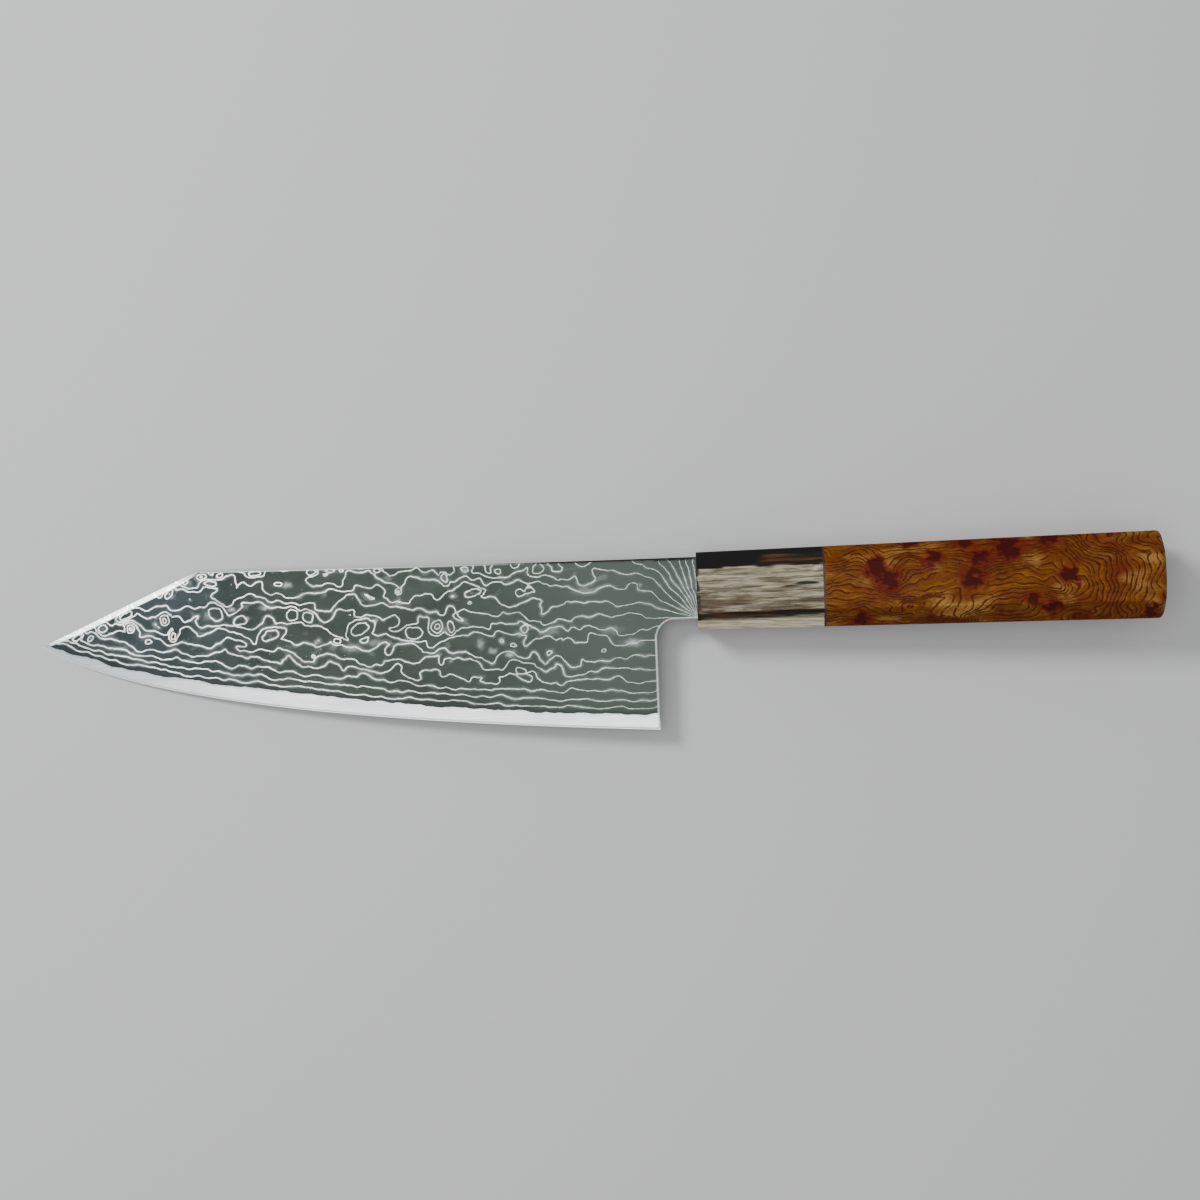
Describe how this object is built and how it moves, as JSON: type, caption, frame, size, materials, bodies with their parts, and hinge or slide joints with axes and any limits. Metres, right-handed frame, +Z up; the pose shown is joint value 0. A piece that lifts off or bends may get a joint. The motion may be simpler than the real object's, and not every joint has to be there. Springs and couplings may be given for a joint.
{
  "type": "chef knife",
  "caption": "Kitchen knife with an angled tip, layered patterned blade, bright cutting edge and tapered octagonal wooden handle with antler ferrule.",
  "frame": {"origin": "on the surface the knife lies on, under the middle of its bounding box", "axes": "the knife lies on its right side, as it rests: +X runs from the tip to the butt, +Y from the cutting edge to the spine, +Z is up, out of the blade's left face. The handle's axis rises 2.8 degrees from +X towards +Z, because the knife rests on its tip and on the ferrule's front edge."},
  "size_m": [0.3248, 0.0522, 0.0267],
  "materials": {
    "core_steel": "satin",
    "patterned_steel": "satin",
    "antler": "satin",
    "red_fibre": "matte",
    "burl_wood": "satin",
    "plain_wood": "matte",
    "clear_resin": "gloss"
  },
  "bodies": {
    "root": {"core_steel": "core_steel", "cladding_left": "patterned_steel", "cladding_right": "patterned_steel", "ferrule": "antler", "liner": "red_fibre", "handle_body": "burl_wood", "dowel": "plain_wood", "tang_resin": "clear_resin"}
  },
  "joints": []
}
